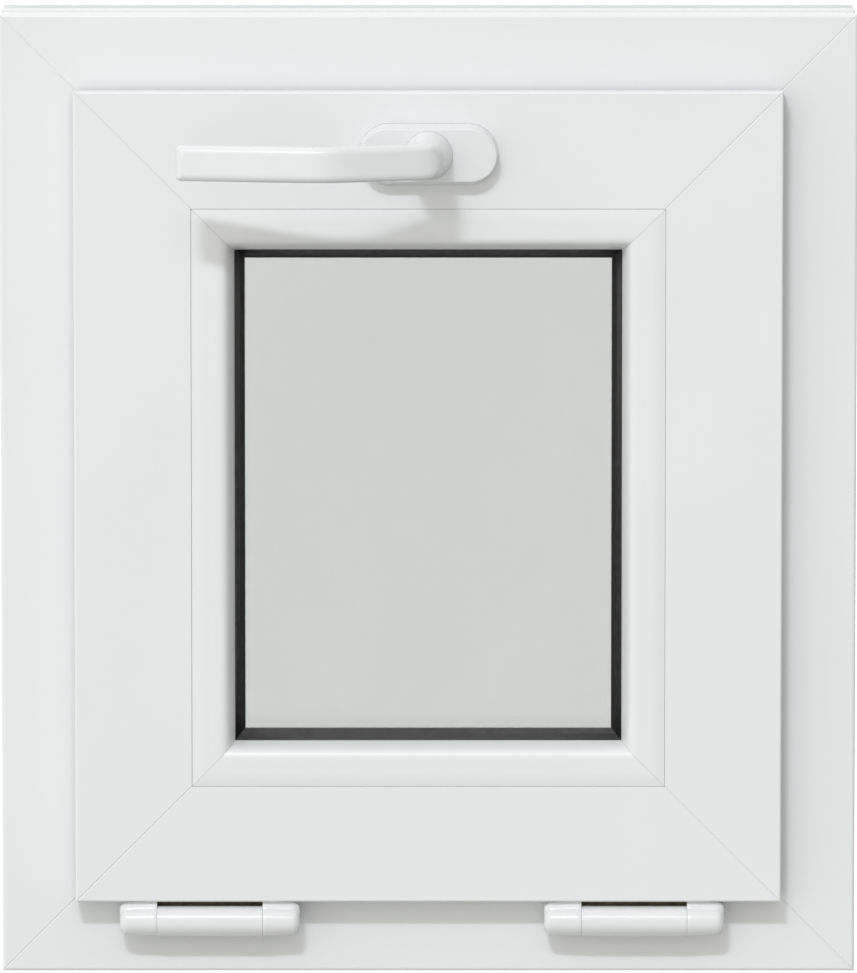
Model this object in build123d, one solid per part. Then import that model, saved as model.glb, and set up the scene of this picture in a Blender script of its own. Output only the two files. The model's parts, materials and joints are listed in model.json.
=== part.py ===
"""Basement window: a small plastic window that tilts inwards, in millimetres.

X runs to the right seen from the room, Y runs from the room to the outdoors, Z runs up. The origin is the middle of
the outer frame's underside, in the middle of its depth.

Every bar is a profile drawn in two measures: the first is the distance inwards from the outer edge of the window,
the second is the depth, which is Y. Each bar is made along the bottom edge, mitred, and turned onto its side.
"""

from build123d import *
import math
import os

# Outer frame: overall size, walls, and the lip that faces the room
frame_width = 400.0
frame_height = 450.0
frame_depth = 70.0
frame_wall = 2.8
frame_web = 1.4
frame_lip_height = 43.0
frame_lip_depth = 27.0
frame_arris = 1.5

# Outer frame: gutter, outdoor leg, chambers
gutter_drop = 3.0
gutter_slope = 3.0
frame_leg_depth = 16.5
frame_leg_height = 20.0
frame_leg_fall = 3.0
frame_leg_arris = 3.0
room_chamber_depth = 9.2
middle_chamber_depth = 10.7
steel_chamber_height = 24.8

# Outer frame: the side that meets the wall
wall_side_recess = 1.2
wall_side_land = 7.5
clip_groove_width = 3.5
clip_groove_depth = 4.5
foot_rib_width = 6.0

# Sash
sash_overlap = 8.0
sash_depth = 65.0
sash_projection = 15.0
sash_height = 75.0
sash_wall = 2.8
sash_web = 1.4
sash_room_wall = 5.0
sash_arris = 1.0
sash_leg_depth = 15.0
sash_leg_fall = 6.0
sash_leg_arris = 3.0
rebate_depth = 22.0
hardware_gap = 12.0
hardware_groove_offset = 5.0
hardware_groove_width = 16.0
hardware_groove_depth = 3.0
hardware_slot_width = 12.0
hardware_slot_depth = 8.0

# Seams that are planed into the welded corners
seam_depth = 0.4

# Insulating glass
pane_thickness = 4.0
glass_gap = 16.0
glass_edge_clearance = 5.0
spacer_height = 7.0
spacer_setback = 4.5

# Glazing beads
bead_height = 20.0
bead_setback = 0.4
bead_wall = 1.2
bead_face_drop = 0.3
bead_flat = 7.5
bead_flat_fall = 0.4
bead_turn_widths = (6.4, 10.3)
bead_turn_depths = (2.2, 6.2)
bead_foot_width = 4.0
bead_foot_depth = 5.5
bead_clearance = 0.1
bead_notch = 3.0
bead_notch_depth = 6.5
bead_glass_gap = 3.5

# Gaskets
gasket_gap = 3.0
gasket_groove_width = 3.0
gasket_groove_depth = 4.0
gasket_fit = 0.1
gasket_tail = 3.5
flap_groove_offset = 5.5
glass_groove_offset = 5.0
flap_gasket_side = 3.0
flap_gasket_taper = 0.5
glass_gasket_sides = (3.0, 5.6)
glass_gasket_taper = 0.6
frame_gasket_sides = (2.8, 3.6)
frame_gasket_taper = 0.8
bead_gasket_lip = 4.7
bead_gasket_step = 0.3
bead_gasket_fold = 3.4
bead_gasket_edge = 0.8
bead_gasket_slope = 4.0

# Handle
handle_drop = 29.0
rosette_width = 65.3
rosette_height = 29.0
rosette_thickness = 9.0
rosette_corner = 11.0
rosette_edge = 3.5
neck_radius = 9.5
neck_clearance = 0.05
neck_seat_depth = 6.0
neck_foot_radius = 12.6
neck_tip_radius = 8.2
neck_gap = 0.3
neck_sink = 4.2
lever_length = 115.0
lever_reach = 10.7
lever_crown_radius = 110.0
lever_elbow_radius = 9.0
lever_height = 16.6
lever_thickness = 11.0
lever_standoff = 49.0
lever_crown_standoff = 63.0
lever_root_standoff = 25.0
lever_crown_place = 44.0
lever_tip_standoff = 48.0
lever_corner = 4.2
lever_back_bevel = 2.4
lever_tip_edge = 1.4
lever_end_allowance = 0.02

# Hinges
hinge_left_offset = 62.7
hinge_right_offset = 68.6
hinge_drop = 9.8
hinge_standoff = 10.0
hinge_radius = 7.2
hinge_cap_radius = 7.1
hinge_cap_tip_radius = 6.5
hinge_cap_bevel = 2.2
hinge_cap_floor = 3.0
hinge_middle_length = 49.4
hinge_end_length = 17.4
hinge_joint_gap = 0.2
hinge_pin_radius = 3.0
hinge_pin_clearance = 0.05
hinge_strap = 2.0
hinge_strap_reach = 16.0
hinge_sleeve_clearance = 0.1
hinge_flap_clearance = 0.1
hinge_pad_width = 6.4
hinge_pad_slope = 2.3
hinge_pad_foot = 4.9
hinge_pad_setback = 1.5

# Drainage
drain_offset = 100.0
drain_length = 28.0
drain_height = 5.0
drain_cap_margin = 4.0
drain_cap_thickness = 3.5
drain_cap_bevel = 1.2
drain_mouth_length = 18.0
drain_fit = 0.2

# How far a cutter runs past what it cuts
cut_margin = 1.0

# Soft edges are three flats that touch a quarter circle: these are their cuts at a radius of 1
flat_bevel = 2 - math.sqrt(2)
flat_trim = math.tan(math.pi / 8) - math.tan(math.pi / 16)

# Depths that follow, from the room to the outdoors
room_face = -frame_depth / 2
outdoor_face = frame_depth / 2
platform_end = room_face + frame_lip_depth
frame_leg_face = outdoor_face - frame_leg_depth
sash_room = room_face - sash_projection
sash_outdoor = sash_room + sash_depth
sash_leg_face = sash_outdoor - sash_leg_depth
flap_back = room_face - gasket_gap
hardware_low = flap_back + hardware_groove_offset
hardware_high = hardware_low + hardware_groove_width
hardware_middle = (hardware_low + hardware_high) / 2
glass_back = sash_leg_face - gasket_gap
outer_pane_front = glass_back - pane_thickness
inner_pane_back = outer_pane_front - glass_gap
glass_front = inner_pane_back - pane_thickness
bead_back = glass_front - bead_glass_gap
bead_nose = bead_back - bead_notch_depth
bead_foot_low = sash_room + sash_room_wall
bead_foot_high = bead_foot_low + bead_foot_width

# Heights that follow, inwards from the outer edge of the window
gutter = frame_lip_height - gutter_drop
frame_leg_top = frame_lip_height + frame_leg_height
sash_inset = frame_lip_height - sash_overlap
sash_base = frame_lip_height + hardware_gap
sash_top = sash_inset + sash_height
hardware_slot_top = sash_base + hardware_groove_depth + hardware_slot_depth
rebate_floor = sash_top - rebate_depth
bead_end = sash_top - bead_setback
bead_start = bead_end - bead_height
pane_edge = rebate_floor + glass_edge_clearance

# Places of the hardware
handle_axis = frame_height - sash_inset - handle_drop
hinge_axis_height = sash_inset - hinge_drop
hinge_axis_depth = room_face - hinge_standoff
hinge_centres = (
    -frame_width / 2 + sash_inset + hinge_left_offset,
    frame_width / 2 - sash_inset - hinge_right_offset,
)
hinge_length = hinge_middle_length + 2 * hinge_end_length
drain_centres = (-frame_width / 2 + drain_offset, frame_width / 2 - drain_offset)
sides = ("bottom", "top", "left", "right")


def outline(points):
    """Closes a list of points into a flat face."""
    return make_face(Polyline(*points, close=True))


def box_outline(low_height, high_height, low_depth, high_depth):
    """A rectangle between two heights and two depths."""
    middle = ((low_height + high_height) / 2, (low_depth + high_depth) / 2)
    return Location(middle) * Rectangle(high_height - low_height, high_depth - low_depth)


def groove(height, face, depth):
    """A gasket groove centred on a height, cut into a face. The sign of its depth says which way it runs."""
    half = gasket_groove_width / 2
    low, high = sorted((face - 0.1 * depth, face + depth))
    return box_outline(height - half, height + half, low, high)


def round_corners(face, corners, radius):
    """Rounds the corners of a face that lie at the given points."""
    chosen = []
    for vertex in face.vertices():
        if any(abs(vertex.X - height) < 0.001 and abs(vertex.Y - depth) < 0.001 for height, depth in corners):
            chosen.append(vertex)
    return fillet(chosen, radius)


def soften_end(solid, axis, radius):
    """Rounds the rim of the end that comes first along an axis, with three flats that touch a quarter circle."""
    solid = chamfer(solid.edges().group_by(axis)[0], flat_bevel * radius)
    loops = solid.edges().group_by(axis)
    return chamfer(loops[0] + loops[2], flat_trim * radius)


def across(position):
    """A plane across the bottom edge at this place along X, with depth and height as its two measures."""
    return Plane(origin=(position, 0, 0), x_dir=(0, 1, 0), z_dir=(1, 0, 0))


def mitred_bar(section, length):
    """Carries a profile along the bottom edge and cuts both ends at 45 degrees."""
    start = Plane(origin=(length / 2, 0, 0), x_dir=(0, 0, 1), z_dir=(-1, 0, 0))
    bar = extrude(start * section, amount=length)
    reach = sash_top + bead_gasket_lip + cut_margin
    wedge = outline([
        (-length / 2, 0),
        (length / 2, 0),
        (length / 2 - reach, reach),
        (-length / 2 + reach, reach),
    ])
    limits = extrude(Plane.XZ * wedge, amount=frame_depth + sash_projection, both=True)
    return bar & limits


def corner_seams(length, face, low, high):
    """V-shaped cutters along both mitres of one face, between two heights."""
    cutters = []
    run = (high - low) * 2 ** 0.5
    width = seam_depth * 2 ** 0.5
    middle = (low + high) / 2
    for end, turn in ((-1, -45), (1, 45)):
        place = Location((end * (length / 2 - middle), face, middle), (0, turn, 0))
        cutters.append(place * (Rotation(45, 0, 0) * Box(run, width, width)))
    return cutters


def on_side(bar, side):
    """Turns a bar made along the bottom edge onto the side it belongs to."""
    places = {
        "bottom": Location((0, 0, 0)),
        "top": Location((0, 0, frame_height), (0, 180, 0)),
        "left": Location((-frame_width / 2, 0, frame_height / 2), (0, 90, 0)),
        "right": Location((frame_width / 2, 0, frame_height / 2), (0, -90, 0)),
    }
    return places[side] * bar


def side_length(side):
    """The outer length of a bar on this side of the window."""
    return frame_width if side in ("bottom", "top") else frame_height


def frame_chambers():
    """The closed chambers of the frame profile, as low height, high height, low depth, high depth."""
    foot = clip_groove_depth + frame_web
    low = wall_side_recess + frame_wall
    top = frame_lip_height - frame_wall
    gutter_top = gutter - frame_wall
    room_start = room_face + frame_wall
    room_end = room_start + room_chamber_depth
    middle_end = frame_leg_face - frame_web
    middle_start = middle_end - middle_chamber_depth
    steel_start = room_end + frame_web
    steel_end = middle_start - frame_web
    steel_top = low + steel_chamber_height
    halfway = (foot + top) / 2
    outer_end = outdoor_face - frame_wall
    leg_start = frame_leg_face + gasket_groove_depth + frame_web
    return [
        (foot, halfway - frame_web / 2, room_start, room_end),
        (halfway + frame_web / 2, top, room_start, room_end),
        (low, steel_top, steel_start, steel_end),
        (steel_top + frame_web, top, steel_start, platform_end - frame_web),
        (steel_top + frame_web, gutter_top, platform_end, steel_end),
        (low, gutter_top, middle_start, middle_end),
        (foot, gutter_top, frame_leg_face, outer_end),
        (gutter_top + frame_web, frame_leg_top - frame_leg_fall - frame_wall, leg_start, outer_end),
    ]


def frame_section():
    """Multi-chamber frame profile: room lip, drained gutter, outdoor leg, and grooves that hold it in the wall."""
    land = outdoor_face - wall_side_land
    clip = land - clip_groove_width
    rib = foot_rib_width / 2
    leg_corner = (frame_leg_top - frame_leg_fall, outdoor_face)
    solid = outline([
        (0, room_face),
        (frame_lip_height, room_face),
        (frame_lip_height, platform_end),
        (gutter, platform_end + gutter_slope),
        (gutter, frame_leg_face),
        (frame_leg_top, frame_leg_face),
        leg_corner,
        (0, outdoor_face),
        (0, land),
        (clip_groove_depth, land),
        (clip_groove_depth, clip),
        (wall_side_recess, clip),
        (wall_side_recess, rib),
        (0, rib),
        (0, -rib),
        (wall_side_recess, -rib),
        (wall_side_recess, -clip),
        (clip_groove_depth, -clip),
        (clip_groove_depth, -land),
        (0, -land),
    ])
    solid = round_corners(solid, [(0, room_face), (0, outdoor_face), (frame_lip_height, room_face)], frame_arris)
    solid = round_corners(solid, [leg_corner], frame_leg_arris)
    solid -= groove(frame_groove_height(), frame_leg_face, gasket_groove_depth)
    for chamber in frame_chambers():
        solid -= box_outline(*chamber)
    return solid


def frame_groove_height():
    """The middle of the band where the frame's outdoor leg overlaps the sash."""
    return (sash_base + frame_leg_top) / 2


def sash_chambers():
    """The closed chambers of the sash profile, as low height, high height, low depth, high depth."""
    room_start = sash_room + sash_wall
    flap_end = flap_back - gasket_groove_depth - sash_web
    column_top = rebate_floor - bead_foot_depth - sash_wall
    low = sash_base + sash_wall
    halfway = hardware_slot_top + sash_web
    top = rebate_floor - sash_wall
    steel_end = hardware_high + sash_wall
    outer_end = sash_outdoor - sash_wall
    middle = (steel_end + outer_end) / 2
    leg_start = sash_leg_face + gasket_groove_depth + sash_web
    chambers = [
        (sash_inset + sash_wall, sash_base - sash_web, room_start, flap_end),
        (sash_base, column_top, room_start, hardware_low - sash_wall),
        (halfway, top, hardware_low, steel_end),
        (top + sash_web, sash_top - sash_leg_fall - sash_wall, leg_start, outer_end),
    ]
    for start, end in ((steel_end + sash_web, middle - sash_web / 2), (middle + sash_web / 2, outer_end)):
        chambers.append((low, halfway, start, end))
        chambers.append((halfway + sash_web, top, start, end))
    return chambers


def sash_section():
    """Sash profile: the flap over the frame, the hardware groove, the glass rebate and its outdoor leg."""
    slot_low = hardware_middle - hardware_slot_width / 2
    slot_high = hardware_middle + hardware_slot_width / 2
    ledge = sash_base + hardware_groove_depth
    foot_floor = rebate_floor - bead_foot_depth - bead_clearance
    leg_corner = (sash_top - sash_leg_fall, sash_outdoor)
    solid = outline([
        (sash_inset, sash_room),
        (bead_start - bead_clearance, sash_room),
        (bead_start - bead_clearance, bead_foot_low),
        (foot_floor, bead_foot_low),
        (foot_floor, bead_foot_high),
        (rebate_floor, bead_foot_high),
        (rebate_floor, sash_leg_face),
        (sash_top, sash_leg_face),
        leg_corner,
        (sash_base, sash_outdoor),
        (sash_base, hardware_high),
        (ledge, hardware_high),
        (ledge, slot_high),
        (hardware_slot_top, slot_high),
        (hardware_slot_top, slot_low),
        (ledge, slot_low),
        (ledge, hardware_low),
        (sash_base, hardware_low),
        (sash_base, flap_back),
        (sash_inset, flap_back),
    ])
    solid = round_corners(solid, [(sash_inset, sash_room), (sash_inset, flap_back)], sash_arris)
    solid = round_corners(solid, [leg_corner], sash_leg_arris)
    solid -= groove(sash_inset + flap_groove_offset, flap_back, -gasket_groove_depth)
    solid -= groove(sash_top - glass_groove_offset, sash_leg_face, gasket_groove_depth)
    for chamber in sash_chambers():
        solid -= box_outline(*chamber)
    return solid


def bead_section():
    """Glazing bead: a flat face that rounds down ever more steeply to the gasket, hollow, with a foot that clips in."""
    floor = rebate_floor + bead_clearance
    foot_low = bead_foot_low + bead_clearance
    foot_high = bead_foot_high - bead_clearance
    tip = rebate_floor - bead_foot_depth
    face = sash_room + bead_face_drop
    shoulder = (bead_start + bead_flat, face + bead_flat_fall)
    turns = [(shoulder[0] + width, shoulder[1] + depth) for width, depth in zip(bead_turn_widths, bead_turn_depths)]
    flat = Polyline((bead_start, foot_low), (bead_start, face), shoulder)
    crown = TangentArc(shoulder, turns[0], tangent=flat % 1)
    haunch = TangentArc(turns[0], turns[1], tangent=crown % 1)
    flank = TangentArc(turns[1], (bead_end, bead_nose), tangent=haunch % 1)
    back = Polyline(
        (bead_end, bead_nose),
        (bead_end - bead_notch, bead_nose),
        (bead_end - bead_notch, bead_back),
        (floor, bead_back),
        (floor, foot_high),
        (tip, foot_high),
        (tip, foot_low),
        (bead_start, foot_low),
    )
    inner = bead_end - bead_notch - bead_wall
    outer = max(bead_start, floor) + bead_wall
    hollow = outline([
        (outer, face + 2 * bead_wall),
        (shoulder[0], shoulder[1] + bead_wall),
        (turns[0][0] - bead_wall, turns[0][1] + bead_wall),
        (inner, turns[1][1]),
        (inner, bead_back - bead_wall),
        (floor + bead_wall, bead_back - bead_wall),
        (floor + bead_wall, foot_high + 2 * bead_wall),
        (outer, foot_high + bead_wall),
    ])
    return make_face(Curve() + [flat, crown, haunch, flank, back]) - hollow


def bead_gasket_section():
    """Strip in the bead's notch, with a lip that slopes down to the glass."""
    inner = bead_end - bead_notch + gasket_fit
    lip = bead_end + bead_gasket_lip
    return outline([
        (inner, bead_nose + gasket_fit),
        (bead_end + bead_gasket_step, bead_nose),
        (bead_end + bead_gasket_fold, glass_front - bead_gasket_slope),
        (lip, glass_front - bead_gasket_edge),
        (lip, glass_front),
        (bead_end + gasket_fit, glass_front),
        (bead_end + gasket_fit, bead_back),
        (inner, bead_back),
    ])


def grooved_gasket(height, face, foot, head, taper):
    """Strip with its tail in a groove at this height, and a head that reaches from the face to what it seals."""
    half = gasket_groove_width / 2 - gasket_fit
    low, high = head
    tail = gasket_tail if face > foot else -gasket_tail
    return outline([
        (height - half, face + tail),
        (height - half, face),
        (height - low, face),
        (height - low + taper, foot),
        (height + high - taper, foot),
        (height + high, face),
        (height + half, face),
        (height + half, face + tail),
    ])


def outer_glazing_gasket_section():
    """Strip in the sash's outdoor leg that the glass is pressed against."""
    height = sash_top - glass_groove_offset
    return grooved_gasket(height, sash_leg_face, glass_back, glass_gasket_sides, glass_gasket_taper)


def frame_gasket_section():
    """Strip in the frame's outdoor leg that the closed sash bears on."""
    height = frame_groove_height()
    return grooved_gasket(height, frame_leg_face, sash_outdoor, frame_gasket_sides, frame_gasket_taper)


def sash_gasket_section():
    """Strip in the back of the sash's flap that closes on the frame's room face."""
    height = sash_inset + flap_groove_offset
    reach = frame_lip_height - frame_arris - height
    return grooved_gasket(height, flap_back, room_face, (flap_gasket_side, reach), flap_gasket_taper)


def spacer_section():
    """Flat metal bar between the two panes."""
    low = pane_edge + spacer_setback
    return box_outline(low, low + spacer_height, inner_pane_back, outer_pane_front)


def drain_slots():
    """Cutters for the drain slots: from the gutter down, and from the outermost chamber out to the weather."""
    cutters = []
    for centre in drain_centres:
        middle = (frame_leg_face - frame_web + platform_end) / 2 + gutter_slope
        slot = SlotOverall(drain_length, drain_height)
        down = Plane(origin=(centre, middle, gutter), x_dir=(1, 0, 0), z_dir=(0, 0, 1))
        cutters.append(extrude(down * slot, amount=-frame_wall - cut_margin))
        cutters.append(extrude(drain_plane(centre) * slot, amount=-frame_wall - cut_margin))
    return cutters


def drain_plane(centre):
    """The frame's outdoor face at the middle of one drain slot, facing outdoors."""
    height = gutter - frame_wall - drain_height / 2
    return Plane(origin=(centre, outdoor_face, height), x_dir=(-1, 0, 0), z_dir=(0, 1, 0))


def drain_caps():
    """Plastic hoods over the drain slots, open underneath, each with a tongue that clips into its slot."""
    caps = []
    for centre in drain_centres:
        plane = drain_plane(centre)
        cover = Rectangle(drain_length + 2 * drain_cap_margin, drain_height + 2 * drain_cap_margin)
        hood = extrude(plane * cover, amount=drain_cap_thickness)
        hood = chamfer(hood.faces().sort_by(Axis.Y)[-1].edges(), drain_cap_bevel)
        tongue = Rectangle(drain_length - drain_height, drain_height - drain_fit)
        hood += extrude(plane * tongue, amount=-frame_wall)
        mouth_depth = frame_wall + drain_cap_thickness - drain_cap_bevel
        mouth_height = drain_height / 2 + drain_cap_margin + cut_margin
        mouth = Box(drain_mouth_length, mouth_depth, mouth_height)
        middle = outdoor_face - frame_wall + mouth_depth / 2
        hood -= Location((centre, middle, plane.origin.Z - mouth_height / 2)) * mouth
        caps.append(hood)
    return Compound(children=caps)


def frame_bar(side):
    """One side of the outer frame, with its corner seams, and the drain slots if it is the sill."""
    length = side_length(side)
    bar = mitred_bar(frame_section(), length)
    bar -= corner_seams(length, room_face, 0, frame_lip_height)
    bar -= corner_seams(length, outdoor_face, 0, frame_leg_top)
    if side == "bottom":
        bar -= drain_slots()
    return on_side(bar, side)


def sash_bar(side):
    """One side of the sash, with its corner seams."""
    length = side_length(side)
    bar = mitred_bar(sash_section(), length)
    bar -= corner_seams(length, sash_room, sash_inset - cut_margin, bead_start)
    bar -= corner_seams(length, sash_outdoor, frame_leg_top, sash_top)
    return on_side(bar, side)


def plain_bar(section, side):
    """One side of a bead, a gasket or the spacer."""
    return on_side(mitred_bar(section, side_length(side)), side)


def sash_gasket_bar(side):
    """One side of the sash's gasket, which stops short of the hinges along the bottom."""
    bar = mitred_bar(sash_gasket_section(), side_length(side))
    if side == "bottom":
        for centre in hinge_centres:
            gap = Box(hinge_length + 2 * cut_margin, 2 * hinge_standoff, 2 * flap_groove_offset + sash_overlap)
            bar -= Location((centre, room_face, sash_inset + flap_groove_offset)) * gap
    return on_side(bar, side)


def pane(front, back):
    """One pane of glass with its edges in the rebate."""
    sheet = Box(frame_width - 2 * pane_edge, back - front, frame_height - 2 * pane_edge)
    return Location((0, (front + back) / 2, frame_height / 2)) * sheet


def handle_plane(standoff):
    """A plane across the handle's axis, this far from the sash and facing the room."""
    return Plane(origin=(0, sash_room - standoff, handle_axis), x_dir=(1, 0, 0), z_dir=(0, -1, 0))


def handle_rosette():
    """Oblong cover plate with soft edges and a blind bore that the lever's journal turns in."""
    cover = RectangleRounded(rosette_width, rosette_height, rosette_corner)
    plate = soften_end(extrude(handle_plane(0) * cover, amount=rosette_thickness), Axis.Y, rosette_edge)
    bore = Circle(neck_radius + neck_clearance)
    plate -= extrude(handle_plane(rosette_thickness) * bore, amount=-neck_seat_depth)
    return plate


def lever_section():
    """Section of the grip: round corners towards the room, plain bevels towards the window."""
    bar = Rectangle(lever_height, lever_thickness)
    bar = fillet(bar.vertices().group_by(Axis.Y)[-1], lever_corner)
    return chamfer(bar.vertices().group_by(Axis.Y)[0], lever_back_bevel)


def lever_path():
    """The middle line of the lever: the grip bends gently at its crown, then turns towards the wall at the elbow."""
    run = lever_reach - lever_thickness / 2
    path = FilletPolyline(
        (-lever_length, sash_room - lever_tip_standoff),
        (-lever_crown_place, sash_room - lever_crown_standoff),
        (run, sash_room - lever_standoff),
        (run, sash_room - lever_root_standoff),
        radius=[lever_crown_radius, lever_elbow_radius],
    )
    return Plane(origin=(0, 0, handle_axis)) * path


def handle_lever():
    """Lever in one piece: a journal in the rosette, a neck that narrows towards the grip, and the bowed grip."""
    route = lever_path()
    start = Plane(origin=route @ 0, x_dir=(0, 0, 1), z_dir=route % 0)
    grip = sweep(start * lever_section(), path=route)
    grip = chamfer(grip.faces().sort_by(Axis.X)[0].edges(), lever_tip_edge)
    span = 2 * lever_length
    rounded_end = Location((lever_reach - span / 2, 0)) * SlotOverall(span, lever_height + lever_end_allowance)
    grip &= extrude(handle_plane(0) * rounded_end, amount=2 * lever_standoff)
    seat = rosette_thickness - neck_seat_depth
    foot = rosette_thickness + neck_gap
    base = (Align.CENTER, Align.CENTER, Align.MIN)
    neck_length = lever_standoff - neck_sink - foot
    journal = extrude(handle_plane(seat) * Circle(neck_radius), amount=foot - seat)
    return grip + journal + handle_plane(foot) * Cone(neck_foot_radius, neck_tip_radius, neck_length, align=base)


def hinge_cylinder(middle, length, radius):
    """A round bar along the hinge's axis."""
    plane = Plane(origin=(middle - length / 2, hinge_axis_depth, hinge_axis_height), x_dir=(0, 1, 0), z_dir=(1, 0, 0))
    return extrude(plane * Circle(radius), amount=length)


def strap_outline(back, floor, ceiling):
    """Bent strap seen from its end: out of the barrel, up behind the flap, and over into the gap."""
    face = back - hinge_strap
    return outline([
        (hinge_axis_depth, hinge_axis_height),
        (hinge_axis_depth, hinge_axis_height - hinge_strap),
        (back, hinge_axis_height - hinge_strap),
        (back, floor),
        (face + hinge_strap_reach, floor),
        (face + hinge_strap_reach, ceiling),
        (face, ceiling),
        (face, hinge_axis_height),
    ])


def hinge_leaves():
    """Steel leaves on the frame: a knuckle round the pin and a strap that hooks over the frame's lip."""
    leaves = []
    length = hinge_middle_length - 2 * hinge_joint_gap
    strap = strap_outline(room_face, frame_lip_height, frame_lip_height + hinge_strap)
    for centre in hinge_centres:
        leaf = hinge_cylinder(centre, length, hinge_pin_radius + hinge_strap)
        leaf += extrude(across(centre - length / 2) * strap, amount=length)
        leaves.append(leaf - hinge_cylinder(centre, length + cut_margin, hinge_pin_radius + hinge_pin_clearance))
    return Compound(children=leaves)


def hinge_sleeves():
    """White sleeves round the steel knuckles, slit along the back where the strap comes out."""
    sleeves = []
    length = hinge_middle_length - 2 * hinge_joint_gap
    for centre in hinge_centres:
        sleeve = hinge_cylinder(centre, length, hinge_radius)
        sleeve -= hinge_cylinder(centre, length + cut_margin, hinge_pin_radius + hinge_strap)
        slit = Box(length + cut_margin, 2 * hinge_radius, hinge_strap + 2 * hinge_sleeve_clearance)
        middle = Location((centre, hinge_axis_depth + hinge_radius, hinge_axis_height - hinge_strap / 2))
        sleeves.append(sleeve - middle * slit)
    return Compound(children=sleeves)


def hinge_cap(split, end):
    """A round cap that tapers a little from the split to its bevelled end."""
    plane = Plane(origin=(split, hinge_axis_depth, hinge_axis_height), x_dir=(0, 1, 0), z_dir=(end, 0, 0))
    base = (Align.CENTER, Align.CENTER, Align.MIN)
    cap = plane * Cone(hinge_cap_radius, hinge_cap_tip_radius, hinge_end_length, align=base)
    return chamfer(cap.edges().group_by(Axis((0, 0, 0), (-end, 0, 0)))[0], hinge_cap_bevel)


def hinge_knuckles():
    """End knuckles on the sash: round caps with a pad up to the flap and a strap into the hardware groove."""
    knuckles = []
    top = sash_inset - hinge_flap_clearance
    strap = strap_outline(flap_back + hinge_strap, sash_base - hinge_strap, sash_base)
    pad = outline([
        (hinge_axis_depth + hinge_pad_slope - hinge_pad_width, hinge_axis_height + hinge_pad_foot),
        (hinge_axis_depth, hinge_axis_height),
        (flap_back + hinge_strap, hinge_axis_height),
        (flap_back + hinge_strap, top),
        (hinge_axis_depth - hinge_pad_slope, top),
    ])
    for centre in hinge_centres:
        for end in (-1, 1):
            middle = centre + end * (hinge_middle_length + hinge_end_length) / 2
            knuckle = hinge_cap(middle - end * hinge_end_length / 2, end)
            strap_length = hinge_end_length - hinge_cap_bevel - hinge_pad_setback
            start = min(middle - end * hinge_end_length / 2, middle - end * (hinge_end_length / 2 - strap_length))
            knuckle += extrude(across(start) * strap, amount=strap_length)
            knuckle += extrude(across(start) * pad, amount=strap_length)
            bore = hinge_cylinder(middle - end * hinge_cap_floor, hinge_end_length,
                                  hinge_pin_radius + hinge_pin_clearance)
            knuckles.append(knuckle - bore)
    return Compound(children=knuckles)


def hinge_pins():
    """Steel pins through the knuckles, held between the closed ends of the caps."""
    length = hinge_length - 2 * hinge_cap_floor
    return Compound(children=[hinge_cylinder(centre, length, hinge_pin_radius) for centre in hinge_centres])


def write(name, shape):
    """Writes one named piece."""
    export_step(shape, f"parts/{name}.step")


def write_profiles():
    """Writes every piece that runs along one side of the window."""
    frame_names = ("frame_sill", "frame_head", "frame_jamb_left", "frame_jamb_right")
    sash_names = ("sash_bottom_rail", "sash_top_rail", "sash_stile_left", "sash_stile_right")
    sections = {
        "glazing_bead": bead_section(),
        "bead_gasket": bead_gasket_section(),
        "outer_glazing_gasket": outer_glazing_gasket_section(),
        "frame_gasket": frame_gasket_section(),
        "spacer": spacer_section(),
    }
    for side, frame_name, sash_name in zip(sides, frame_names, sash_names):
        write(frame_name, frame_bar(side))
        write(sash_name, sash_bar(side))
        write(f"sash_gasket_{side}", sash_gasket_bar(side))
        for piece, section in sections.items():
            write(f"{piece}_{side}", plain_bar(section, side))


def write_fittings():
    """Writes the glass, the handle, the hinges and the drain caps."""
    write("glass_pane_inner", pane(glass_front, inner_pane_back))
    write("glass_pane_outer", pane(outer_pane_front, glass_back))
    write("handle_rosette", handle_rosette())
    write("handle_lever", handle_lever())
    write("hinge_leaves", hinge_leaves())
    write("hinge_sleeves", hinge_sleeves())
    write("hinge_knuckles", hinge_knuckles())
    write("hinge_pins", hinge_pins())
    write("drain_caps", drain_caps())


os.makedirs("parts", exist_ok=True)
write_profiles()
write_fittings()
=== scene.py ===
# %% [markdown]
# # A small basement window in white plastic, seen from the room
#
# The window is a hollow plastic frame, a sash that overlaps it, four glazing beads round a double pane, a handle
# and two hinges. The measured model arrives ready made: every bar is already cut to its mitres. This lesson gives
# it its looks. Some pieces are redrawn with smoother skins than a measured model carries, such as the beads, the
# rubber lip round the glass, the handle and the hinge barrels. Everything else keeps its shape and gets a finish.

import math

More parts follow.
